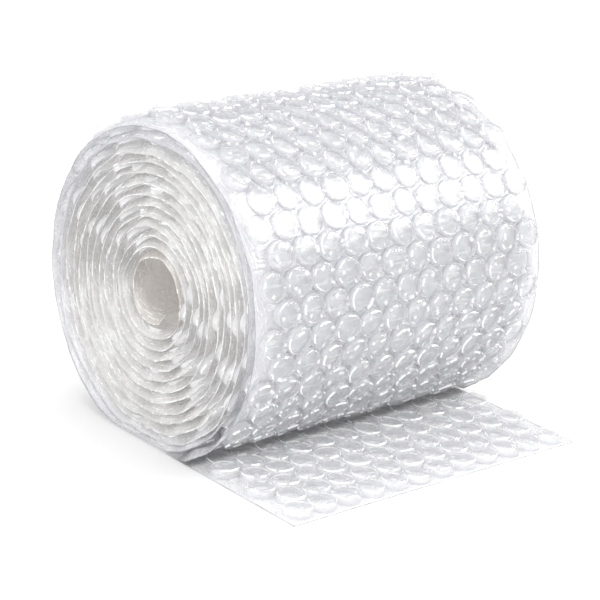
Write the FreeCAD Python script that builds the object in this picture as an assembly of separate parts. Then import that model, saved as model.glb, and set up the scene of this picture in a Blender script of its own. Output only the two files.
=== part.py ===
import FreeCAD, Part
import math
import os

# Bubble wrap roll: one sheet of clear bubble film, wound on itself round an open middle with
# no core tube. It lies on its side. The sheet comes over the top and down the front with its
# bubbles outwards, folds back on itself where the roll meets the floor, and its free end lies
# forward on the floor with the bubbles up.
#
# Millimetres. The roll's axis lies along X, the free end points to -Y, and +Z is up.
# The origin is on the floor, in the middle of the footprint.
#
# The sheet is drawn as a chain of flat facets, each one row of bubbles long, because the real
# film bends between its rows. Covered turns are a plain band, as thick as film and bubbles
# together. The outer turn and the free end are thin film with every bubble standing on it.

SIZES = {
    "web_width": 300,
    "roll_radius": 132,
    "hole_radius": 25,
    "hole_forward": 6,
    "turn_pitch": 8.2,
    "turn_thickness": 6.7,
    "film_thickness": 1.2,
    "bubble_pitch": 24.4,
    "bubble_height": 8,
    "bubble_taper": 0.78,
    "free_length": 152,
    "flat_press": 3.5,
    "inner_curl": 3,
    "turn_facets": 20,
}

doc = FreeCAD.newDocument("bubble_wrap_roll")
sheet = doc.addObject("Spreadsheet::Sheet", "Sizes")
for row, (name, value) in enumerate(SIZES.items(), start=1):
    sheet.set(f"A{row}", name)
    sheet.set(f"B{row}", str(value))
    sheet.setAlias(f"B{row}", name)
doc.recompute()

half_width = sheet.web_width / 2
roll_radius = sheet.roll_radius
turn_pitch = sheet.turn_pitch
film = sheet.film_thickness
bubble_pitch = sheet.bubble_pitch
bubble_height = sheet.bubble_height

# Bubbles stand in straight rows along the axis, each row half a pitch from the next.
row_pitch = bubble_pitch * math.cos(math.radians(30))
columns = math.floor(sheet.web_width / bubble_pitch)

# The roll's own weight lowers its axis and flattens the turns below it, which keep this share
# of their spacing.
centre_height = roll_radius - turn_pitch + bubble_height - sheet.flat_press
FLAT_SPRING = 0.9

# Angles run from +Y through the top, and grow outwards along the sheet. The covered turns are
# wound tighter in front, so that the open middle lies forward of the axis.
full_turn = 2 * math.pi
fold_angle = 1.5 * math.pi - math.acos((centre_height - film) / roll_radius)
step_angle = fold_angle - full_turn
wound_angle = full_turn * (roll_radius - sheet.hole_radius) / turn_pitch - full_turn
CURL_ANGLE = math.radians(120)

# A bubble between the roll and the free end may fill this share of the space that is left.
CREASE_SHARE = 0.45
LEAST_BUBBLE = 1.5


def film_radius(angle):
    """Distance of the film's bubble side from the axis."""
    radius = roll_radius - turn_pitch * (fold_angle - angle) / full_turn
    depth_share = max(0, step_angle - angle) / wound_angle
    radius -= sheet.hole_forward * math.cos(angle) * depth_share
    from_end = angle - (step_angle - wound_angle)
    if from_end < CURL_ANGLE:
        radius -= sheet.inner_curl * (1 - from_end / CURL_ANGLE) ** 2
    return radius


def roll_point(radius, angle):
    """A place on the wound sheet, lifted where the floor flattens the roll."""
    height = centre_height + radius * math.sin(angle)
    outer_angle = step_angle + (angle - step_angle) % full_turn
    if outer_angle < 0:
        depth = film_radius(outer_angle) - radius
        height = max(height, bubble_height + FLAT_SPRING * depth)
    return (radius * math.cos(angle), height)


def spaced(start, end, steps):
    return [start + (end - start) * step / steps for step in range(steps + 1)]


def film_line(place):
    """Corners along one fold line of the film, half a bubble pitch apart, for bubbles to meet."""
    first = -columns / 2 * bubble_pitch + bubble_pitch / 4
    across = [first + step * bubble_pitch / 2 for step in range(2 * columns)]
    return [FreeCAD.Vector(x, *place) for x in [-half_width] + across + [half_width]]


def plain_line(place):
    return [FreeCAD.Vector(x, *place) for x in (-half_width, half_width)]


def flat_face(corners):
    return Part.Face(Part.makePolygon(corners + corners[:1]))


def strip(line_a, line_b):
    return flat_face(line_a + line_b[::-1])


def bubble(base, height, outward):
    """A steep-sided hexagonal blister with a flat top, open at the film."""
    middle = sum(base, FreeCAD.Vector()) / len(base)
    lift = outward * height
    top = [middle + (corner - middle) * sheet.bubble_taper + lift for corner in base]
    sides = []
    for i in range(len(base)):
        j = (i + 1) % len(base)
        sides.append(flat_face([base[i], base[j], top[j], top[i]]))
    return sides + [flat_face(top)]


def bubble_row(line_a, line_b, height, shifted):
    """One facet of film with a row of bubbles, or plain film if they are pressed flat."""
    if height < LEAST_BUBBLE:
        return [strip(line_a, line_b)]
    count = columns - 1 if shifted else columns
    first = 2 if shifted else 1
    axis = FreeCAD.Vector(1, 0, 0)
    outward = (line_b[0] - line_a[0]).cross(axis).normalize()
    middle_line = [(a + b) / 2 for a, b in zip(line_a, line_b)]
    joints = []
    for step in range(count + 1):
        joint = FreeCAD.Vector(middle_line[0])
        joint.x = (step - count / 2) * bubble_pitch
        joints.append(joint)
    faces = []
    for step in range(count):
        i = first + 2 * step
        base = [line_a[i], line_a[i + 1], joints[step + 1], line_b[i + 1], line_b[i], joints[step]]
        faces += bubble(base, height, outward)
        if step < count - 1:
            faces.append(flat_face([line_a[i + 1], line_a[i + 2], joints[step + 1]]))
            faces.append(flat_face([line_b[i + 1], line_b[i + 2], joints[step + 1]]))
    last = first + 2 * count - 1
    faces.append(flat_face(line_a[: first + 1] + [joints[0]] + line_b[first::-1]))
    faces.append(flat_face(line_a[last:] + line_b[: last - 1 : -1] + [joints[-1]]))
    return faces


def roll_bubble_height(angle):
    """Full height, or less where the free end lies close below the roll's front."""
    if math.sin(angle) >= 0 or math.cos(angle) >= 0 or angle < 0:
        return bubble_height
    place = roll_point(film_radius(angle), angle)
    clearance = (place[1] - film) / -math.sin(angle)
    return min(bubble_height, CREASE_SHARE * clearance)


def free_bubble_height(y):
    if -y >= roll_radius:
        return bubble_height
    roll_above = centre_height - math.sqrt(roll_radius**2 - y**2)
    return min(bubble_height, CREASE_SHARE * (roll_above - film))


def wound_sheet():
    """Every face of the sheet, from its inner end to the cut edge on the floor."""
    wound_steps = math.ceil(wound_angle / full_turn * sheet.turn_facets)
    wound = spaced(step_angle - wound_angle, step_angle, wound_steps)
    rows = round(full_turn * (roll_radius - turn_pitch / 2) / row_pitch)
    outer = spaced(step_angle, fold_angle, rows)

    smooth = [roll_point(film_radius(a) - film, a) for a in wound + outer[1:]]
    covered = [roll_point(film_radius(a) - film + sheet.turn_thickness, a) for a in wound]
    exposed = [roll_point(film_radius(a), a) for a in outer]

    # The fold turns under on itself, then the free end runs forward to its cut edge.
    crease_y = exposed[-1][0]
    cut_y = crease_y - sheet.free_length
    smooth += [(crease_y + film, film), (crease_y + film / 2, 0), (cut_y, 0)]
    free_rows = math.floor((sheet.free_length - film) / row_pitch)
    free = [(crease_y - row_pitch * step, film) for step in range(free_rows + 1)]
    cut_edge = (cut_y, film)

    faces = [strip(plain_line(a), plain_line(b)) for a, b in zip(smooth, smooth[1:])]
    faces += [strip(plain_line(a), plain_line(b)) for a, b in zip(covered, covered[1:])]
    faces.append(strip(plain_line(smooth[0]), plain_line(covered[0])))
    faces.append(strip(plain_line(smooth[-1]), plain_line(cut_edge)))
    faces.append(strip(plain_line(covered[-1]), film_line(exposed[0])))
    faces.append(strip(film_line(free[-1]), plain_line(cut_edge)))

    # The first row lies under the fold, pressed flat.
    for step in range(rows):
        height = 0 if step == 0 else roll_bubble_height(outer[step + 1])
        lines = film_line(exposed[step]), film_line(exposed[step + 1])
        faces += bubble_row(*lines, height, shifted=step % 2 == 1)
    for step in range(free_rows):
        height = free_bubble_height(free[step][0])
        lines = film_line(free[step]), film_line(free[step + 1])
        faces += bubble_row(*lines, height, shifted=(rows + step) % 2 == 1)

    outline = smooth + [cut_edge] + free[::-1] + exposed[-2::-1] + covered[::-1]
    for x in (-half_width, half_width):
        faces.append(flat_face([FreeCAD.Vector(x, *place) for place in outline]))
    return faces


shell = Part.Shell(wound_sheet())
shell.sewShape()
solid = Part.Solid(Part.Shell(shell.Faces))
if solid.Volume < 0:
    solid.reverse()

roll = doc.addObject("Part::Feature", "bubble_wrap")
roll.Label = "bubble_wrap"
roll.Shape = solid
box = roll.Shape.BoundBox
roll.Placement = FreeCAD.Placement(
    FreeCAD.Vector(0, -(box.YMin + box.YMax) / 2, -box.ZMin), FreeCAD.Rotation()
)
doc.recompute()

for item in doc.Objects:
    if "Invalid" in item.State or "Error" in item.State:
        raise RuntimeError(f"{item.Label} is not right: {item.State}")
if roll.Shape.isNull() or not roll.Shape.isValid():
    raise RuntimeError("the bubble wrap's shape is not valid")
if len(roll.Shape.Solids) != 1:
    raise RuntimeError("the bubble wrap is not one solid")

print("axis at y", round(roll.Placement.Base.y, 3), "z", round(centre_height + roll.Placement.Base.z, 3))
print("fold angle", round(math.degrees(fold_angle), 2), "volume", round(roll.Shape.Volume / 1e6, 4), "litres")
os.makedirs("parts", exist_ok=True)
roll.Shape.exportStep("parts/bubble_wrap.step")
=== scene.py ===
import math

import bpy
import numpy as np
from mathutils import Matrix, Vector


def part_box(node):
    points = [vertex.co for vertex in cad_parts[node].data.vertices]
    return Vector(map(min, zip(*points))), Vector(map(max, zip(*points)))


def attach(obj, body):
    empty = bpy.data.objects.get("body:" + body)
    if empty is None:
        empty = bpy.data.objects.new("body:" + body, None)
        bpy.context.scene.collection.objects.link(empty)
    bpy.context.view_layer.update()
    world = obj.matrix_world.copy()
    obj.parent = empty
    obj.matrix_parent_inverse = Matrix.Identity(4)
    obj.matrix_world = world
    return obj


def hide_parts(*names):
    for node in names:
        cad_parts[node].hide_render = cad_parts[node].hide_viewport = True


# A roll of clear bubble wrap on a white floor. Metres throughout: the roll lies along X,
# its free end points to -Y, and +Z is up.

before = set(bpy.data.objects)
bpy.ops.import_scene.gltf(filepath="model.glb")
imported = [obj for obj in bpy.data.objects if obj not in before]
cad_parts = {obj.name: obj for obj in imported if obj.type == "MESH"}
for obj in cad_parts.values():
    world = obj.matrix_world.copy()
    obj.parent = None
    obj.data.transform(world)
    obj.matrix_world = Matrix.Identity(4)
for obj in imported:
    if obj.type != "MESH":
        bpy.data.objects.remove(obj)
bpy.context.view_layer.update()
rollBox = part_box("bubble_wrap")
print("frame loaded, box", [round(v, 4) for v in (*rollBox[0], *rollBox[1])])

# The sizes the solid was built to, so that the film and the bubbles fill the same space.
roll = {
    "webWidth": 0.300,
    "radius": 0.132,            # bubble side of the outermost film
    "holeRadius": 0.025,
    "holeForward": 0.006,       # how far the inmost turn lies in front of the axis
    "turnPitch": 0.0082,
    "foldHeight": 0.0012,       # film height where the sheet folds under
    "bubblePitch": 0.0244,
    "bubbleHeight": 0.008,
    "freeLength": 0.152,
    "flatPress": 0.0035,        # how far the roll's weight lowers its axis
    "flatSpring": 0.9,          # share of the turn spacing left above the flat spot
    "innerCurl": 0.003,
    "curlAngle": math.radians(120),
}

fullTurn = 2 * math.pi
rowPitch = roll["bubblePitch"] * math.cos(math.radians(30))
columns = math.floor(roll["webWidth"] / roll["bubblePitch"])
centreHeight = roll["radius"] - roll["turnPitch"] + roll["bubbleHeight"] - roll["flatPress"]
foldAngle = 1.5 * math.pi - math.acos((centreHeight - roll["foldHeight"]) / roll["radius"])
stepAngle = foldAngle - fullTurn
woundAngle = fullTurn * (roll["radius"] - roll["holeRadius"]) / roll["turnPitch"] - fullTurn
coveredTurns = woundAngle / fullTurn
outerRows = round(fullTurn * (roll["radius"] - roll["turnPitch"] / 2) / rowPitch)
cutY = rollBox[0].y
creaseY = cutY + roll["freeLength"]
axisY = creaseY - roll["radius"] * math.cos(foldAngle)
noiseMean = 0.5


class Wire:     # a socket that takes part in plain arithmetic
    def __init__(self, net, socket):
        self.net = net
        self.socket = socket

    def __add__(self, other):
        return self.net.sum(self, other)

    def __sub__(self, other):
        return self.net.difference(self, other)

    def __mul__(self, other):
        return self.net.product(self, other)

    def __truediv__(self, other):
        return self.net.math("DIVIDE", self, other)

    def __radd__(self, other):
        return self.net.sum(other, self)

    def __rsub__(self, other):
        return self.net.difference(other, self)

    def clamped(self):
        return self.net.node("ShaderNodeMath", {"operation": "ADD", "use_clamp": True}, [self, 0])

    def part(self, axis):
        return self.net.node("ShaderNodeSeparateXYZ", {}, [self], out="XYZ".index(axis))


class Net:      # adds nodes to one tree and wires them up
    def __init__(self, tree):
        self.tree = tree

    def node(self, kind, settings=None, inputs=None, out=0):
        made = self.tree.nodes.new(kind)
        for name, value in (settings or {}).items():
            setattr(made, name, value)
        pairs = enumerate(inputs) if isinstance(inputs, list) else (inputs or {}).items()
        for key, value in pairs:
            self.feed(self.inputOf(made, key), value)
        if out is None:
            return made
        if isinstance(out, str):
            return Wire(self, next(s for s in made.outputs if s.name == out and s.enabled))
        return Wire(self, [s for s in made.outputs if s.enabled][out])

    def inputOf(self, made, key):
        if isinstance(key, int):
            return [s for s in made.inputs if s.enabled][key]
        return next(s for s in made.inputs if s.name == key and s.enabled)

    def feed(self, socket, value):
        if isinstance(value, Wire):
            self.tree.links.new(value.socket, socket)
        elif value is not None:
            socket.default_value = value

    def math(self, operation, *values):
        return self.node("ShaderNodeMath", {"operation": operation}, list(values))

    def vector(self, operation, *values, out=0):
        return self.node("ShaderNodeVectorMath", {"operation": operation}, list(values), out)

    def isVector(self, value):
        if isinstance(value, Wire):
            return value.socket.type in ("VECTOR", "RGBA")
        return not isinstance(value, (int, float))

    def sum(self, a, b):
        vectors = self.isVector(a) or self.isVector(b)
        return self.vector("ADD", a, b) if vectors else self.math("ADD", a, b)

    def difference(self, a, b):
        vectors = self.isVector(a) or self.isVector(b)
        return self.vector("SUBTRACT", a, b) if vectors else self.math("SUBTRACT", a, b)

    def product(self, a, b):
        if self.isVector(a) and self.isVector(b):
            return self.vector("MULTIPLY", a, b)
        if self.isVector(b):
            a, b = b, a
        if self.isVector(a):
            return self.node("ShaderNodeVectorMath", {"operation": "SCALE"}, {"Vector": a, "Scale": b})
        return self.math("MULTIPLY", a, b)

    def band(self, value, start, end):      # 0 before start, 1 past end, smooth between
        return self.node("ShaderNodeMapRange", {"interpolation_type": "SMOOTHSTEP"}, {
            "Value": value, "From Min": start, "From Max": end})

    def blend(self, share, a, b):           # between two colours
        settings = {"data_type": "RGBA", "clamp_factor": True}
        return self.node("ShaderNodeMix", settings, {"Factor": share, "A": a, "B": b})

    def xyz(self, x, y, z):
        return self.node("ShaderNodeCombineXYZ", {}, [x, y, z])

    def noise(self, place, settings):
        return self.node("ShaderNodeTexNoise", {}, {"Vector": place, **settings})

    def curve(self, value, points):         # the first two points are its ends
        made = self.node("ShaderNodeFloatCurve", {}, {"Factor": 1.0, "Value": value}, out=None)
        line = made.mapping.curves[0].points
        for i, (x, y) in enumerate(points):
            if i < 2:
                line[i].location = (x, y)
            else:
                line.new(x, y)
        made.mapping.update()
        return Wire(self, made.outputs["Value"])


# How the sheet runs

winding = {
    "stationsPerRow": 4,
    "filmRest": 0.0003,         # middle of the film below its bubble side, and above the floor
    "looseness": 0.0009,        # how far covered turns wander in and out
    "looseSeed": 1.3,
    "slide": 0.0042,            # how far edges of covered turns lie inside the roll's ends
    "slideScale": 0.47,
    "slideSeed": 4.1,
    # Waves that add up to the unrest along the sheet: rate by row, shift by seed, and weight.
    "waves": ((1.31, 1.0, 1.0), (0.53, 2.7, 1.0), (2.17, 1.9, 0.8)),
    # The nose of the fold: how far past the crease, and how high.
    "nose": ((0.00064, 0.0010), (0.00080, 0.0007), (0.00064, 0.0004)),
}


def filmRadius(angle):
    radius = roll["radius"] - roll["turnPitch"] * (foldAngle - angle) / fullTurn
    radius -= roll["holeForward"] * math.cos(angle) * max(0, stepAngle - angle) / woundAngle
    fromEnd = angle - (stepAngle - woundAngle)
    if fromEnd < roll["curlAngle"]:
        radius -= roll["innerCurl"] * (1 - fromEnd / roll["curlAngle"]) ** 2
    return radius


def rollPoint(radius, angle):
    height = centreHeight + radius * math.sin(angle)
    outerAngle = stepAngle + (angle - stepAngle) % fullTurn
    if outerAngle < 0:      # the floor flattens the turns here
        depth = filmRadius(outerAngle) - radius
        height = max(height, roll["bubbleHeight"] + roll["flatSpring"] * depth)
    return radius * math.cos(angle), height


def rowAngles():
    # Angle of each line between two rows, from the inner end to the fold.
    outer = [stepAngle + fullTurn * step / outerRows for step in range(outerRows + 1)]
    inner = []
    angle = stepAngle
    while angle > stepAngle - woundAngle:
        angle -= rowPitch / filmRadius(angle)
        inner.append(angle)
    inner[-1] = stepAngle - woundAngle
    return inner[::-1] + outer, len(inner)


def wander(place, seed):
    # Smooth unrest along the sheet, from -1 to 1.
    waves = winding["waves"]
    unrest = sum(weight * math.sin(place * rate + shift * seed) for rate, shift, weight in waves)
    return unrest / sum(weight for rate, shift, weight in waves)


def stationAt(y, z, row, angle=foldAngle, deep=0.0, grip=0.0):
    # Depth is in turns below the outer one. Grip is 0 where the film lies on the floor.
    return {"y": y, "z": z, "row": row, "angle": angle, "deep": deep, "grip": grip}


def sheetPath():
    # Stations along the sheet. Row 0 is the first row of the outer turn, and a half number
    # is the middle of a row.
    angles, coveredRows = rowAngles()
    steps = winding["stationsPerRow"]
    lines = np.arange(len(angles))
    stations = []
    for i in range((len(angles) - 1) * steps + 1):
        angle = float(np.interp(i / steps, lines, angles))
        row = i / steps - coveredRows
        deep = max(0.0, (stepAngle - angle) / fullTurn)
        seed = winding["looseSeed"] + math.floor(deep)
        loose = min(1.0, deep) * winding["looseness"] * wander(row, seed)
        y, z = rollPoint(filmRadius(angle) - winding["filmRest"] + loose, angle)
        stations.append(stationAt(axisY + y, z, row, angle, deep, 1.0))
    for reach, height in winding["nose"]:
        stations.append(stationAt(creaseY + reach, height, outerRows))
    freeRows = roll["freeLength"] / rowPitch
    for place in [step / steps for step in range(int(freeRows * steps) + 1)] + [freeRows]:
        stations.append(stationAt(creaseY - place * rowPitch, winding["filmRest"], outerRows + place))
    return stations, coveredRows


def outwardOf(stations):
    # The way the bubbles stand at each station, square to the sheet.
    line = np.array([(s["y"], s["z"]) for s in stations])
    along = np.gradient(line, axis=0)
    along /= np.linalg.norm(along, axis=1)[:, None]
    return np.column_stack([np.zeros(len(line)), along[:, 1], -along[:, 0]])


# Bubbles

bubble = {
    "rimRadius": 0.0120,
    "coveredHeight": 0.0070,
    "creaseShare": 0.45,        # of the space left between the roll and the free end
    "leastHeight": 0.0015,
    "bareRows": 2,              # rows without bubbles at the inner end
    "flatSine": -0.9,           # covered bubbles are pressed where the angle's sine is lower
    "tilt": math.radians(5),
    "sizeSpread": 0.05,
    "sizeGain": 0.3,            # share of the size spread that may also be added
    "heightSpread": 0.10,
    "dents": {"Scale": 105.0, "Detail": 2.0, "Roughness": 0.6},
    "dentStep": 1.7,            # sets the dents of one group of bubbles apart from the next
    "dentSpan": (0.1, 0.7),     # share of the way from rim to middle over which dents come in
    "joinGap": 0.0001,
    # Share of the rim radius and of the height on the way from rim to middle, end points first.
    "wallProfile": [(0, 1), (1, 0), (0.25, 0.975), (0.5, 0.905), (0.75, 0.76)],
    "heightProfile": [(0, 0), (1, 0.97), (0.25, 0.52), (0.5, 0.88), (0.75, 1.0)],
}

# Clearness None means opaque. Arc share is how much of each rim gets a painted white highlight.
bubbleKinds = {
    "outer": {"sides": 16, "rings": 4, "crumple": 0.0014, "seed": 3,
              "plastic": "clear_bubble", "clearness": 0.16, "arcShare": 0.5, "footShare": 1.0},
    "free": {"sides": 16, "rings": 4, "crumple": 0.0014, "seed": 5,
             "plastic": "free_bubble", "clearness": 0.09, "arcShare": 0.9, "footShare": 1.0},
    "covered": {"sides": 10, "rings": 3, "crumple": 0.0012, "seed": 7,
                "plastic": "covered_bubble", "clearness": None, "arcShare": 0.5, "footShare": 0.4},
    "end": {"sides": 16, "rings": 4, "crumple": 0.0014, "seed": 11,
            "plastic": "end_bubble", "clearness": 0.45, "arcShare": 0.5, "footShare": 0.2},
}


def rollBubbleHeight(angle):
    if math.sin(angle) >= 0 or math.cos(angle) >= 0 or angle < 0:
        return roll["bubbleHeight"]
    height = rollPoint(filmRadius(angle), angle)[1]
    clearance = (height - roll["foldHeight"]) / -math.sin(angle)
    return min(roll["bubbleHeight"], bubble["creaseShare"] * clearance)


def freeBubbleHeight(y):
    if axisY - y >= roll["radius"]:
        return roll["bubbleHeight"]
    rollAbove = centreHeight - math.sqrt(roll["radius"] ** 2 - (axisY - y) ** 2)
    return min(roll["bubbleHeight"], bubble["creaseShare"] * (rollAbove - roll["foldHeight"]))


def bubblePlaces(stations, outward, coveredRows):
    # One list of (place, outward, height, depth in turns) for each kind of bubble.
    steps = winding["stationsPerRow"]
    groups = {kind: [] for kind in bubbleKinds}
    middles = [i for i, s in enumerate(stations) if abs(s["row"] % 1 - 0.5) < 1e-6]
    for i in middles:
        station = stations[i]
        row = math.floor(station["row"])
        if row < bubble["bareRows"] - coveredRows:
            continue
        if row < 0:
            group = "covered"
            height = bubble["coveredHeight"]
            if math.sin(station["angle"]) < bubble["flatSine"]:
                height *= roll["flatSpring"]
        elif row < outerRows:
            group = "outer"
            after = stations[i + steps // 2]["angle"]
            height = 0 if row == 0 else rollBubbleHeight(after)
        else:
            group = "free"
            height = freeBubbleHeight(station["y"] + rowPitch / 2)
        if height < bubble["leastHeight"]:
            continue
        count = columns - row % 2
        for column in range(count):
            x = (column - (count - 1) / 2) * roll["bubblePitch"]
            last = column in (0, count - 1)
            kept = "end" if group == "covered" and last else group
            groups[kept].append(((x, station["y"], station["z"]), outward[i], height, station["deep"]))
    return groups


def pointsObject(name, points, attributes):
    mesh = bpy.data.meshes.new(name)
    mesh.from_pydata([tuple(p) for p in points], [], [])
    for key, values in attributes.items():
        values = np.asarray(values, dtype=np.float32)
        kind = "FLOAT_VECTOR" if values.ndim == 2 else "FLOAT"
        field = "vector" if values.ndim == 2 else "value"
        mesh.attributes.new(key, kind, "POINT").data.foreach_set(field, values.ravel())
    made = bpy.data.objects.new(name, mesh)
    bpy.context.scene.collection.objects.link(made)
    return made


def newTree(name, inputs):
    tree = bpy.data.node_groups.new(name, "GeometryNodeTree")
    tree.interface.new_socket(name="Geometry", in_out="INPUT", socket_type="NodeSocketGeometry")
    ids = {}
    for label, kind in inputs.items():
        socket = tree.interface.new_socket(name=label, in_out="INPUT", socket_type="NodeSocket" + kind)
        ids[label] = socket.identifier
    tree.interface.new_socket(name="Geometry", in_out="OUTPUT", socket_type="NodeSocketGeometry")
    net = Net(tree)
    source = net.node("NodeGroupInput", out=None)
    wires = {s.name: Wire(net, s) for s in source.outputs if s.name}
    return net, wires, ids


def storeAttribute(net, geometry, name, value, domain="POINT", kind="FLOAT"):
    settings = {"data_type": kind, "domain": domain}
    return net.node("GeometryNodeStoreNamedAttribute", settings,
                    {"Geometry": geometry, "Name": name, "Value": value})


def namedAttribute(net, name, kind="FLOAT"):
    return net.node("GeometryNodeInputNamedAttribute", {"data_type": kind}, {"Name": name})


def randomFrom(net, low, high, seed, kind="FLOAT"):
    return net.node("FunctionNodeRandomValue", {"data_type": kind}, {
        "Min": low, "Max": high, "Seed": seed})


def unitGrid(net, countX, countY):
    return net.node("GeometryNodeMeshGrid", {}, {
        "Size X": 1.0, "Size Y": 1.0, "Vertices X": countX, "Vertices Y": countY}, out=None)


def notBelow(net, place, height):
    return net.xyz(place.part("X"), place.part("Y"), net.math("MAXIMUM", place.part("Z"), height))


def bubbleTree():
    # Stands a crumpled blister on every point of the mesh that it is given.
    net, given, ids = newTree("blisters", {
        "Rim Radius": "Float", "Sides": "Int", "Rings": "Int", "Tilt": "Float", "Size Spread": "Float",
        "Height Spread": "Float", "Crumple": "Float", "Seed": "Int", "Material": "Material"})
    grid = unitGrid(net, given["Sides"] + 1, given["Rings"] + 1)
    place = net.node("GeometryNodeInputPosition")
    around = (place.part("X") + 0.5) * fullTurn
    rise = place.part("Y") + 0.5
    radius = net.curve(rise, bubble["wallProfile"]) * given["Rim Radius"]
    height = net.curve(rise, bubble["heightProfile"])
    curved = net.xyz(radius * net.math("COSINE", around), radius * net.math("SINE", around), height)
    dome = storeAttribute(net, Wire(net, grid.outputs["Mesh"]), "ring",
                          Wire(net, grid.outputs["UV Map"]), "CORNER", "FLOAT2")
    dome = storeAttribute(net, dome, "rise", rise)
    dome = net.node("GeometryNodeSetPosition", {}, {"Geometry": dome, "Position": curved})
    dome = net.node("GeometryNodeMergeByDistance", {}, {"Geometry": dome, "Distance": bubble["joinGap"]})

    square = net.node("FunctionNodeAxesToRotation", {"primary_axis": "Z", "secondary_axis": "X"},
                      [namedAttribute(net, "outward", "FLOAT_VECTOR"), (1, 0, 0)])
    lean = net.xyz(given["Tilt"], given["Tilt"], math.pi)
    turn = randomFrom(net, lean * -1, lean, given["Seed"], "FLOAT_VECTOR")
    turned = net.node("FunctionNodeRotateRotation", {"rotation_space": "LOCAL"}, [square, turn])
    spread = given["Size Spread"]
    wide = randomFrom(net, 1 - spread, 1 + spread * bubble["sizeGain"], given["Seed"] + 1)
    deep = randomFrom(net, 1 - given["Height Spread"], 1.0, given["Seed"] + 2)
    tall = namedAttribute(net, "lift") * deep
    stood = net.node("GeometryNodeInstanceOnPoints", {}, {
        "Points": given["Geometry"], "Instance": dome, "Rotation": turned,
        "Scale": net.xyz(wide, wide, tall)})
    tone = randomFrom(net, 0.0, 1.0, given["Seed"] + 3)
    stood = storeAttribute(net, stood, "tone", tone, "INSTANCE")
    real = net.node("GeometryNodeRealizeInstances", {}, {"Geometry": stood})

    # Softly dented tops: the film is limp and never blown up tight.
    spot = net.node("GeometryNodeInputPosition")
    dents = net.node("ShaderNodeTexNoise", {"noise_dimensions": "4D"}, {
        "Vector": spot, "W": given["Seed"] * bubble["dentStep"], **bubble["dents"]}, out="Color")
    top = net.band(namedAttribute(net, "rise"), *bubble["dentSpan"])
    push = (dents - (noiseMean, noiseMean, noiseMean)) * (given["Crumple"] * top)
    moved = notBelow(net, spot + push, winding["filmRest"])
    real = net.node("GeometryNodeSetPosition", {}, {"Geometry": real, "Position": moved})
    real = net.node("GeometryNodeSetShadeSmooth", {}, {"Geometry": real})
    real = net.node("GeometryNodeSetMaterial", {}, {"Geometry": real, "Material": given["Material"]})
    net.node("NodeGroupOutput", {}, {"Geometry": real}, out=None)
    return net.tree, ids


def applyTree(source, name, tree, ids, values):
    # Runs the tree on the object and returns the result as a plain mesh object.
    modifier = source.modifiers.new("shape", "NODES")
    modifier.node_group = tree
    for label, value in values.items():
        modifier[ids[label]] = value
    made = freeze(source, name)
    bpy.data.objects.remove(source)
    return made


def freeze(source, name):
    graph = bpy.context.evaluated_depsgraph_get()
    mesh = bpy.data.meshes.new_from_object(source.evaluated_get(graph), depsgraph=graph)
    made = bpy.data.objects.new(name, mesh)
    bpy.context.scene.collection.objects.link(made)
    return made


def standBubbles(kind, places, tree, ids):
    its = bubbleKinds[kind]
    name = kind + "_bubbles"
    points, outward, lift, deep = zip(*places)
    spots = pointsObject(name + "_places", points, {"outward": outward, "lift": lift, "deep": deep})
    return applyTree(spots, name, tree, ids, {
        "Rim Radius": bubble["rimRadius"], "Tilt": bubble["tilt"], "Size Spread": bubble["sizeSpread"],
        "Height Spread": bubble["heightSpread"], "Sides": its["sides"], "Rings": its["rings"],
        "Crumple": its["crumple"], "Seed": its["seed"], "Material": bubbleMaterial(kind)})


# Film

film = {
    "across": 24,
    "thickness": 0.0004,
    "margin": 0.0105,           # bare film past the bubbles, on average
    "marginSwing": 0.0052,      # how much rows with one bubble fewer add to it
    "droop": 0.0048,            # how far bare edges hang down at the top of the roll
    "lowDroop": 0.0036,         # and how much further at its foot
    "lean": 0.0034,             # covered edges tip inwards above the hole and outwards below it
    "floorGap": 0.0012,
    "ruffle": 0.0036,
    "ruffleStretch": (1.7, 0.62, 3.1),  # across the sheet, along it and from turn to turn
    "ruffles": {"Scale": 1.0, "Detail": 3.0, "Roughness": 0.6},
    "ripple": 0.0007,
    "rippleStretch": (6, 0.9, 5.3),
    "ripples": {"Scale": 1.0, "Detail": 1.0},
    "clearReach": 0.021,        # covered film is clear this far in from the ends
    "coveredFrom": 0.05,        # turns below the outermost film
}


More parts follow.
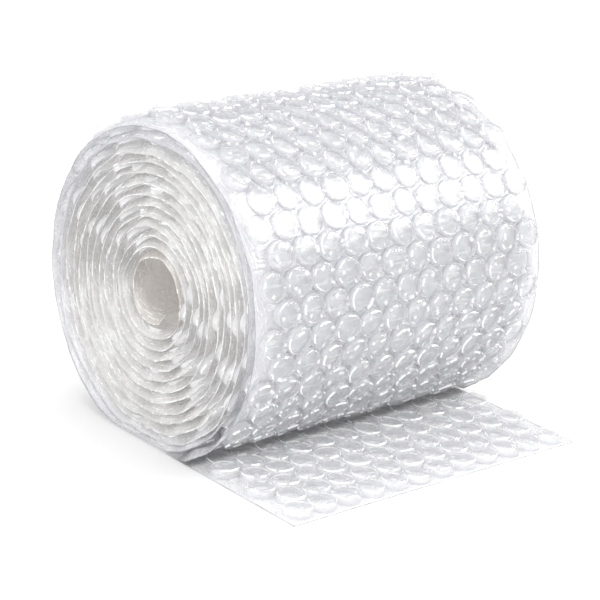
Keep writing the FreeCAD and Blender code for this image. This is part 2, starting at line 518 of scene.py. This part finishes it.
def filmTree():
    # Spreads a sheet along the stations, bare edges bent in and ruffled.
    net, given, ids = newTree("film", {
        "Width": "Float", "Across": "Int", "Stations": "Int", "Margin": "Float", "Margin Swing": "Float",
        "Droop": "Float", "Low Droop": "Float", "Lean": "Float", "Floor Gap": "Float", "Ruffle": "Float",
        "Ripple": "Float", "Turns": "Float", "Clear Reach": "Float",
        "Material": "Material", "Deep Material": "Material"})
    grid = unitGrid(net, given["Across"] + 1, given["Stations"])
    place = net.node("GeometryNodeInputPosition")
    station = net.math("ROUND", (place.part("Y") + 0.5) * (given["Stations"] - 1))

    def sampled(value, kind="FLOAT"):
        return net.node("GeometryNodeSampleIndex", {"data_type": kind, "domain": "POINT"}, {
            "Geometry": given["Geometry"], "Value": value, "Index": station})

    middle = sampled(net.node("GeometryNodeInputPosition"), "FLOAT_VECTOR")
    outward = sampled(namedAttribute(net, "outward", "FLOAT_VECTOR"), "FLOAT_VECTOR")
    deep = sampled(namedAttribute(net, "deep"))
    slide = sampled(namedAttribute(net, "slide"))
    row = sampled(namedAttribute(net, "row"))
    grip = sampled(namedAttribute(net, "grip"))

    # Corners lie closer together towards the edges, where the film bends.
    side = net.math("SINE", place.part("X") * math.pi)
    halfWidth = given["Width"] / 2
    reach = net.math("ABSOLUTE", side) * halfWidth
    margin = given["Margin"] - given["Margin Swing"] * net.math("COSINE", (row - 0.5) * math.pi)
    edge = ((reach - (halfWidth - margin)) / margin).clamped()
    low = 1 - net.band(middle.part("Z"), 0.0, 2 * centreHeight)
    sag = (given["Droop"] + given["Low Droop"] * low) * edge * edge * grip

    def unrest(stretch, settings):
        spot = net.xyz(*(value * scale for value, scale in zip((side, row, deep), stretch)))
        return net.noise(spot, settings) - noiseMean

    ruffles = unrest(film["ruffleStretch"], film["ruffles"]) * given["Ruffle"] * edge * 2
    ripples = unrest(film["rippleStretch"], film["ripples"]) * given["Ripple"]
    tipped = (low * 2 - 1) * given["Lean"] * edge * deep.clamped()
    bent = (ruffles + ripples + tipped) * grip
    across = side * (halfWidth - slide)
    spread = middle + outward * bent + net.xyz(across, 0.0, sag * -1)
    spread = notBelow(net, spread, grip * given["Floor Gap"] + winding["filmRest"])

    sheet = storeAttribute(net, Wire(net, grid.outputs["Mesh"]), "deep", deep)
    sheet = storeAttribute(net, sheet, "edge", edge)
    sheet = storeAttribute(net, sheet, "reach", reach)
    sheet = net.node("GeometryNodeSetPosition", {}, {"Geometry": sheet, "Position": spread})
    sheet = net.node("GeometryNodeFlipFaces", {}, {"Mesh": sheet})
    sheet = net.node("GeometryNodeSetShadeSmooth", {}, {"Geometry": sheet})
    sheet = net.node("GeometryNodeSetMaterial", {}, {"Geometry": sheet, "Material": given["Material"]})
    # Film that nothing shows through: covered, away from the ends, and not facing the hole.
    inside = net.math("LESS_THAN", namedAttribute(net, "reach"), halfWidth - given["Clear Reach"])
    depth = namedAttribute(net, "deep")
    covered = net.math("GREATER_THAN", depth, film["coveredFrom"])
    hidden = inside * covered * net.math("LESS_THAN", depth, given["Turns"] - 1)
    sheet = net.node("GeometryNodeSetMaterial", {}, {
        "Geometry": sheet, "Selection": hidden, "Material": given["Deep Material"]})
    net.node("NodeGroupOutput", {}, {"Geometry": sheet}, out=None)
    return net.tree, ids


def slideOf(station):
    # Covered turns lie a little inside the ends, some further than others.
    share = 0.5 + 0.5 * wander(station["row"] * winding["slideScale"], winding["slideSeed"])
    return min(1.0, station["deep"] * 2) * winding["slide"] * share


def spreadFilm(stations, outward, material, deepMaterial):
    kept = {name: [s[name] for s in stations] for name in ("deep", "row", "grip")}
    path = pointsObject("film_path", [(0, s["y"], s["z"]) for s in stations], {
        "outward": outward, "slide": [slideOf(s) for s in stations], **kept})
    tree, ids = filmTree()
    thin = applyTree(path, "thin_film", tree, ids, {
        "Width": roll["webWidth"], "Across": film["across"], "Stations": len(stations),
        "Margin": film["margin"], "Margin Swing": film["marginSwing"], "Droop": film["droop"],
        "Low Droop": film["lowDroop"], "Lean": film["lean"], "Floor Gap": film["floorGap"],
        "Ruffle": film["ruffle"], "Ripple": film["ripple"], "Turns": coveredTurns,
        "Clear Reach": film["clearReach"], "Material": material, "Deep Material": deepMaterial})
    wall = thin.modifiers.new("wall", "SOLIDIFY")
    wall.thickness = film["thickness"]
    wall.offset = 0
    made = freeze(thin, "backing_film")
    bpy.data.objects.remove(thin)
    return made


# Clear plastic

plastic = {
    "clear": (0.895, 0.900, 0.925, 1),
    "warm": (0.875, 0.862, 0.855, 1),   # covered turns
    "margin": (0.79, 0.782, 0.775, 1),  # bare edges of covered turns
    # White, for painted highlights and glints.
    "white": (0.98, 0.98, 0.985, 1),
    # Painted shade inside the hole, on the inmost turn.
    "hole": (0.74, 0.705, 0.67, 1),
    # Painted shade: the sides and feet of bubbles and the outer turn's bare edges are greyer, standing in
    # for the dark outlines of clear plastic.
    "wall": (0.83, 0.83, 0.86, 1),      # sides of a bubble, and bare edges of the outer turn
    "cut": (0.36, 0.36, 0.39, 1),       # cut edges against the light
    "foot": (0.66, 0.66, 0.70, 1),      # where a bubble meets the film
    "shade": (0.26, 0.26, 0.27, 1),     # down in the crease
    "dark": (0, 0, 0, 1),
    "ior": 1.5,
    "specular": 1.0,
}

# Painted glow (emission) that stands in for light passed on through the film, and each part's share of
# it.
glow = {
    "strength": 0.3,
    "film": 0.30,
    "deepFilm": 0.50,
    "bubble": 0.58,
    "arc": 0.55,
    "freeEnd": 0.28,
    "freeStreak": 0.5,
    "marginLoss": 0.8,
    "coveredSpan": (0.1, 1.2),          # turns down over which it comes in
    "holeSpan": (-1.2, -0.9),           # turns from the inner end over which it is lost again
    "holeLoss": 0.2,
}

crease = {
    "nearSpan": (-0.032, -0.024),       # from the fold, along Y: where the dark line comes in
    "underSpan": (-0.016, -0.006),      # and where it ends, under the roll
    "heightSpan": (0.004, 0.010),
    "depth": 0.72,
    "onBubbles": 0.8,
    "onFilm": 0.85,
}


def newMaterial(name):
    material = bpy.data.materials.new(name)
    material.use_nodes = True
    material.node_tree.nodes.clear()
    return material, Net(material.node_tree)


def finishPlastic(net, colour, alpha, roughness, bump, coat, coatRoughness, glowColour):
    shader = net.node("ShaderNodeBsdfPrincipled", {}, {
        "Base Color": colour, "Roughness": roughness, "Alpha": alpha, "Normal": bump,
        "IOR": plastic["ior"], "Specular IOR Level": plastic["specular"],
        "Coat Weight": coat, "Coat Roughness": coatRoughness,
        "Emission Color": glowColour, "Emission Strength": glow["strength"]})
    net.node("ShaderNodeOutputMaterial", {}, {"Surface": shader}, out=None)


def bumpOf(net, look, height):
    return net.node("ShaderNodeBump", {}, {**look["bump"], "Height": height})


def attribute(net, name, out="Fac"):
    return net.node("ShaderNodeAttribute", {"attribute_name": name}, {}, out=out)


def innerEnd(net, deep, span):
    # 1 on the turn round the hole.
    return net.band(deep, coveredTurns + span[0], coveredTurns + span[1])


def innerGlow(net, share):
    # Painted glow for the light that covered film passes on; the turn round the hole gets less, as
    # painted shade.
    deep = attribute(net, "deep")
    lost = innerEnd(net, deep, glow["holeSpan"]) * glow["holeLoss"]
    lit = net.band(deep, *glow["coveredSpan"]) * (1 - lost)
    return net.blend(lit * share, plastic["dark"], plastic["warm"])


def creaseShade(net, place):
    # The dark line where the free end comes out from under the roll.
    y = place.part("Y")
    near = net.band(y, *(creaseY + step for step in crease["nearSpan"]))
    under = net.band(y, *(creaseY + step for step in crease["underSpan"]))
    above = net.band(place.part("Z"), *crease["heightSpan"])
    return near * (1 - under) * (1 - above) * crease["depth"]


def ringOf(net, rise, span):
    # 1 between the span's two middle values, and 0 past its ends.
    return net.band(rise, *span[:2]) * (1 - net.band(rise, *span[2:]))


def lineAt(net, value, sharpness):
    # 1 where the value is 0, falling off on both sides.
    return 1 - (net.math("ABSOLUTE", value) * sharpness).clamped()


# Rings and spans run from the rim, 0, to the middle, 1. Breaks are levels of noise. The shoulder ring,
# the inner ring and the glints are painted highlights.
bubbleLook = {
    "shoulder": (0.34, 0.43, 0.47, 0.58),
    "innerRing": (0.70, 0.76, 0.80, 0.88),
    "innerBreaks": (0.44, 0.36),
    "innerShare": 0.7,
    "foot": (0.08, 0.24),
    "wall": (0.3, 0.6),
    "breaks": {"Scale": 1.5, "Detail": 1.0},
    "breakStep": 37,            # sets the breaks of one bubble apart from another's
    "breakMost": 0.62,          # level at which the shoulder's arc breaks
    "breakFall": 0.24,          # and how far it falls for an unbroken ring
    "breakBlur": 0.05,
    "crinkle": {"Scale": 260.0, "Detail": 2.0, "Roughness": 0.6},
    "ridgeSharpness": 30,
    "glintSpan": (0.6, 0.85),
    "glintBreaks": (0.50, 0.62),
    "glintShare": 0.6,
    "wallAlpha": 0.30,
    "footAlpha": 0.34,
    "brightAlpha": 0.65,
    "bump": {"Strength": 0.35, "Distance": 0.0010},
    "ridgeBump": 0.2,
    "coat": 0.6,
    "coatRoughness": 0.05,
    "roughness": 0.12,
    "crinkleRoughness": 0.12,
    "footRoughness": 0.4,
}


def bubbleMaterial(kind):
    # Clear blisters with broken white arcs where the film turns over the rim, painted highlights that
    # glow on outer and free bubbles.
    its = bubbleKinds[kind]
    look = bubbleLook
    clearness = its["clearness"]
    material, net = newMaterial(its["plastic"])
    place = net.node("ShaderNodeTexCoord", out="Object")
    ring = attribute(net, "ring", "Vector")
    rise = ring.part("Y")
    around = ring.part("X") * fullTurn
    tone = attribute(net, "tone") * look["breakStep"]
    circle = net.xyz(net.math("COSINE", around), net.math("SINE", around), tone)
    breaks = net.noise(circle, look["breaks"])
    gap = look["breakMost"] - its["arcShare"] * look["breakFall"]
    # Painted highlights: the shoulder and inner rings, broken by noise.
    shoulder = ringOf(net, rise, look["shoulder"]) * net.band(breaks, gap, gap + look["breakBlur"])
    inner = ringOf(net, rise, look["innerRing"]) * net.band(breaks, *look["innerBreaks"])
    arc = (shoulder + inner * look["innerShare"]).clamped()
    crinkle = net.noise(place, look["crinkle"])
    ridge = lineAt(net, crinkle - noiseMean, look["ridgeSharpness"])
    glint = ridge * net.band(rise, *look["glintSpan"]) * net.band(breaks, *look["glintBreaks"])
    paintedHighlight = (arc + glint * look["glintShare"]).clamped()
    # Greyer sides and feet are painted shade.
    foot = (1 - net.band(rise, *look["foot"])) * its["footShare"]
    wall = (1 - net.band(rise, *look["wall"])) * its["footShare"]
    body = net.blend(foot, net.blend(wall, plastic["clear"], plastic["wall"]), plastic["foot"])
    colour = net.blend(paintedHighlight, body, plastic["white"])
    lit = innerGlow(net, glow["bubble"])
    # Painted glow on the highlights.
    if kind in ("outer", "free"):
        lit = net.blend(paintedHighlight * glow["arc"], lit, plastic["white"])
    if kind == "free":
        shade = creaseShade(net, place)
        colour = net.blend(shade * crease["onBubbles"], colour, plastic["shade"])
        lit = net.blend(shade, net.blend(glow["freeEnd"], lit, plastic["white"]), plastic["dark"])
    alpha = None
    if clearness:
        alpha = clearness + wall * look["wallAlpha"] + foot * look["footAlpha"]
        alpha = (alpha + paintedHighlight * look["brightAlpha"]).clamped()
    bump = bumpOf(net, look, crinkle + ridge * look["ridgeBump"])
    roughness = look["roughness"] + crinkle * look["crinkleRoughness"] + foot * look["footRoughness"]
    coat = (1 - foot) * look["coat"]
    finishPlastic(net, colour, alpha, roughness, bump, coat, look["coatRoughness"], lit)
    return material


deepLook = {
    "crinkle": {"Scale": 180.0, "Detail": 2.0},
    "brightBreaks": (0.54, 0.66),
    "bump": {"Strength": 0.4, "Distance": 0.001},
    "coat": 0.3,
    "coatRoughness": 0.1,
    "roughness": 0.3,
}


def deepMaterial():
    # Covered turns away from the ends, where nothing shows through any more.
    look = deepLook
    material, net = newMaterial("deep_turns")
    place = net.node("ShaderNodeTexCoord", out="Object")
    crinkle = net.noise(place, look["crinkle"])
    # White specks where the crinkle peaks are painted glints.
    colour = net.blend(net.band(crinkle, *look["brightBreaks"]), plastic["warm"], plastic["white"])
    bump = bumpOf(net, look, crinkle)
    lit = innerGlow(net, glow["deepFilm"])
    finishPlastic(net, colour, None, look["roughness"], bump, look["coat"], look["coatRoughness"], lit)
    return material


# Edge spans run from the outermost bubble, 0, to the cut edge, 1. Breaks are levels of noise.
filmLook = {
    "coveredSpan": (0.2, 1.6),          # turns down over which film counts as covered
    "freeHeight": (0.002, 0.006),       # above it film counts as roll and not as free end
    "holeSpan": (-1.1, -0.9),           # turns from the inner end over which the painted shade of the hole comes in
    "marginSpan": (0.02, 0.2),
    "chips": {"Scale": 84.0, "Detail": 2.0, "Roughness": 0.7},
    "lipSpan": (0.93, 0.98),
    "lipBreaks": (0.48, 0.58),
    "lipShare": 0.7,
    # Painted highlights on folds beside the cut edge: where each lies on average, and its breaks.
    "folds": (
        (0.78, (0.50, 0.58)),
        (0.58, (0.50, 0.42)),
        (0.38, (0.48, 0.57)),
        (0.16, (0.50, 0.43)),
    ),
    "foldWander": 0.3,
    "foldSharpness": 24,
    "foldShare": 0.65,
    "tipSpan": (0.0006, 0.0014),        # from the end of the sheet
    "streakStretch": (40.0, 260.0, 260.0),
    "streaks": {"Scale": 1.0, "Detail": 2.0, "Roughness": 0.6},
    "streakBreaks": (0.55, 0.65),
    "streakSpan": (0.0, 0.2),
    "streakShare": 0.5,
    "freeStreakShare": 0.4,
    "crinkle": {"Scale": 240.0, "Detail": 2.0, "Roughness": 0.6},
    "ridgeSharpness": 26,
    "ridgeBreaks": (0.50, 0.62),
    "ridgeShare": 0.35,
    "alpha": 0.36,
    "coveredAlpha": 0.26,
    "marginAlpha": 0.06,
    "outerMarginAlpha": 0.2,
    "freeAlpha": -0.15,
    "brightAlpha": 0.45,
    "cutAlpha": 0.5,
    "shadeAlpha": 0.6,
    "bump": {"Strength": 0.8, "Distance": 0.0012},
    "streakBump": 0.6,
    "coat": 0.45,
    "coatRoughness": 0.14,
    "roughness": 0.16,
    "crinkleRoughness": 0.2,
}


def filmMaterial():
    look = filmLook
    material, net = newMaterial("clear_film")
    place = net.node("ShaderNodeTexCoord", out="Object")
    deep = attribute(net, "deep")
    edge = attribute(net, "edge")
    covered = net.band(deep, *look["coveredSpan"])
    free = 1 - net.band(place.part("Z"), *look["freeHeight"])

    # Broken white lines along the cut edge and in the folds beside it, painted highlights.
    chips = net.noise(place, look["chips"])
    end = net.band(edge, *look["lipSpan"])
    lines = end * net.band(chips, *look["lipBreaks"]) * covered * look["lipShare"]
    wandering = edge + (chips - noiseMean) * look["foldWander"]
    for where, breaks in look["folds"]:
        near = lineAt(net, wandering - where, look["foldSharpness"])
        lines = lines + near * net.band(chips, *breaks) * look["foldShare"]

    # The outermost edges and the end of the sheet show as a thin grey line.
    tip = 1 - net.band(place.part("Y"), *(cutY + step for step in look["tipSpan"]))
    cut = net.math("MAXIMUM", end * (1 - covered), tip)

    # White streaks and crinkle ridges are painted glints.
    streaks = net.noise(place * look["streakStretch"], look["streaks"])
    crinkle = net.noise(place, look["crinkle"])
    ridge = lineAt(net, crinkle - noiseMean, look["ridgeSharpness"])
    ridge = ridge * net.band(chips, *look["ridgeBreaks"])
    streak = net.band(streaks, *look["streakBreaks"]) * (1 - net.band(edge, *look["streakSpan"]))
    streak = streak * (1 - covered) * (look["streakShare"] + free * look["freeStreakShare"])
    paintedHighlight = (streak + ridge * look["ridgeShare"] + lines).clamped()

    bare = net.band(edge, *look["marginSpan"])
    margin = bare * covered
    # Bare edges of the outer turn take the bubbles' wall grey as painted shade.
    outerMargin = bare * (1 - covered) * (1 - free)
    shade = creaseShade(net, place)
    colour = net.blend(covered, plastic["clear"], plastic["warm"])
    for share, paint in (
        (margin, "margin"),
        (outerMargin, "wall"),
        (innerEnd(net, deep, look["holeSpan"]), "hole"),
        (paintedHighlight, "white"),
        (cut, "cut"),
        (shade * crease["onFilm"], "shade"),
    ):
        colour = net.blend(share, colour, plastic[paint])

    alpha = look["alpha"] + covered * look["coveredAlpha"] + margin * look["marginAlpha"]
    alpha = alpha + outerMargin * look["outerMarginAlpha"] + free * look["freeAlpha"]
    alpha = alpha + paintedHighlight * look["brightAlpha"] + cut * look["cutAlpha"] + shade * look["shadeAlpha"]
    lit = innerGlow(net, (1 - margin * glow["marginLoss"]) * glow["film"])
    # Painted glow on the free end, more on its streaks, none in the crease.
    freeLit = free * (1 - shade) * (glow["freeEnd"] + streak * glow["freeStreak"])
    lit = net.blend(freeLit, lit, plastic["white"])
    bump = bumpOf(net, look, crinkle + streaks * look["streakBump"])
    roughness = look["roughness"] + crinkle * look["crinkleRoughness"]
    finishPlastic(net, colour, alpha.clamped(), roughness, bump, look["coat"], look["coatRoughness"], lit)
    return material


# Build

stations, coveredRows = sheetPath()
outward = outwardOf(stations)
deepPlastic = deepMaterial()
backingFilm = spreadFilm(stations, outward, filmMaterial(), deepPlastic)
print("film spread:", len(stations), "stations,", len(backingFilm.data.polygons), "faces")

groups = bubblePlaces(stations, outward, coveredRows)
blisters, blisterIds = bubbleTree()
bubblePieces = [standBubbles(kind, groups[kind], blisters, blisterIds) for kind in bubbleKinds]
for piece in bubblePieces:
    print(piece.name, len(piece.data.polygons), "faces")

for piece in [backingFilm] + bubblePieces:
    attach(piece, "root")
    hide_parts("bubble_wrap")

# Floor, light and camera

studio = {
    "floorSize": 12.0,
    "floorDrop": 0.0004,
    "floorColour": (0.92, 0.92, 0.92, 1),
    "floorRoughness": 0.6,
    "floorSpecular": 0.2,
    "floorGlow": 0.10,
    "farGlow": 0.50,            # keeps the floor white behind the lamps
    "farSpan": (0.7, 2.0),
    "ambient": 0.70,            # what the white surroundings light with
    "surroundings": (1, 1, 1, 1),
}

lamps = {
    "key_softbox": {"toward": (0.635, -0.466, 0.615), "distance": 2.2, "size": (2.0, 1.1),
                    "brightness": 2.9},
    "key_shine": {"toward": (0.60, -0.48, 0.625), "distance": 2.15, "size": (1.7, 1.0),
                  "brightness": 13, "shineOnly": True},
    "top_softbox": {"toward": (-0.1, 0.25, 1.0), "distance": 2.2, "size": (1.8, 1.2),
                    "brightness": 3.0},
    "left_softbox": {"toward": (-0.9, -0.25, 0.30), "distance": 2.2, "size": (0.9, 1.6),
                     "brightness": 3.1},
    "low_strip": {"toward": (-0.3, -0.95, 0.06), "distance": 2.0, "size": (1.6, 0.22),
                  "brightness": 8, "shineOnly": True},
}


def stageFloor():
    half = studio["floorSize"] / 2
    corners = [(-half, -half, 0), (half, -half, 0), (half, half, 0), (-half, half, 0)]
    mesh = bpy.data.meshes.new("floor")
    mesh.from_pydata(corners, [], [(0, 1, 2, 3)])
    mesh.transform(Matrix.Translation((0, 0, -studio["floorDrop"])))
    floor = bpy.data.objects.new("floor", mesh)
    bpy.context.scene.collection.objects.link(floor)
    material, net = newMaterial("floor_white")
    fromMiddle = net.vector("LENGTH", net.node("ShaderNodeTexCoord", out="Object"), out="Value")
    far = net.band(fromMiddle, *studio["farSpan"])
    lit = studio["floorGlow"] + far * (studio["farGlow"] - studio["floorGlow"])
    shader = net.node("ShaderNodeBsdfPrincipled", {}, {
        "Base Color": studio["floorColour"], "Roughness": studio["floorRoughness"],
        "Specular IOR Level": studio["floorSpecular"],
        "Emission Color": net.xyz(lit, lit, lit), "Emission Strength": 1.0})
    net.node("ShaderNodeOutputMaterial", {}, {"Surface": shader}, out=None)
    mesh.materials.append(material)


def panel(name, toward, distance, size, brightness, shineOnly=False):
    # A lamp that faces the roll from the given side, its first size laid along the roll.
    lamp = bpy.data.lights.new(name, "AREA")
    lamp.shape = "RECTANGLE"
    lamp.size, lamp.size_y = size
    lamp.energy = brightness * math.pi * size[0] * size[1]
    made = bpy.data.objects.new(name, lamp)
    bpy.context.scene.collection.objects.link(made)
    way = Vector(toward).normalized()
    long = (Vector((1, 0, 0)) - way * way.x).normalized()
    turn = Matrix((long, way.cross(long), way)).transposed()
    middle = Vector((0, axisY, centreHeight))
    made.matrix_world = Matrix.Translation(middle + way * distance) @ turn.to_4x4()
    if shineOnly:
        made.visible_diffuse = False


def lightStudio():
    world = bpy.data.worlds.new("studio")
    bpy.context.scene.world = world
    world.use_nodes = True
    world.node_tree.nodes.clear()
    net = Net(world.node_tree)
    # Seen directly they are white, but they light less.
    seen = net.node("ShaderNodeLightPath", out="Is Camera Ray")
    strength = studio["ambient"] + seen * (1 - studio["ambient"])
    back = net.node("ShaderNodeBackground", {}, {"Color": studio["surroundings"], "Strength": strength})
    net.node("ShaderNodeOutputWorld", {}, {"Surface": back}, out=None)
    for name, lamp in lamps.items():
        panel(name, **lamp)


view = {
    "azimuth": math.radians(-42.39),
    "elevation": math.radians(19.58),
    "roll": math.radians(4.53),
    "distance": 1.890,
    "target": (0.0095, axisY, 0.0880),
    "lens": 138.6,
    "clipStart": 0.05,
}


def placeCamera():
    azimuth, elevation = view["azimuth"], view["elevation"]
    back = Vector((math.sin(azimuth) * math.cos(elevation), -math.cos(azimuth) * math.cos(elevation),
                   math.sin(elevation)))
    right = Vector((0, 0, 1)).cross(back).normalized()
    up = back.cross(right)
    tiltedRight = right * math.cos(view["roll"]) + up * math.sin(view["roll"])
    tiltedUp = up * math.cos(view["roll"]) - right * math.sin(view["roll"])
    data = bpy.data.cameras.new("camera")
    data.lens = view["lens"]
    data.clip_start = view["clipStart"]
    made = bpy.data.objects.new("camera", data)
    bpy.context.scene.collection.objects.link(made)
    turn = Matrix((tiltedRight, tiltedUp, back)).transposed()
    place = Vector(view["target"]) + back * view["distance"]
    made.matrix_world = Matrix.Translation(place) @ turn.to_4x4()
    bpy.context.scene.camera = made


stageFloor()
lightStudio()
placeCamera()
bpy.context.scene.view_settings.view_transform = "Standard"
print("studio ready")
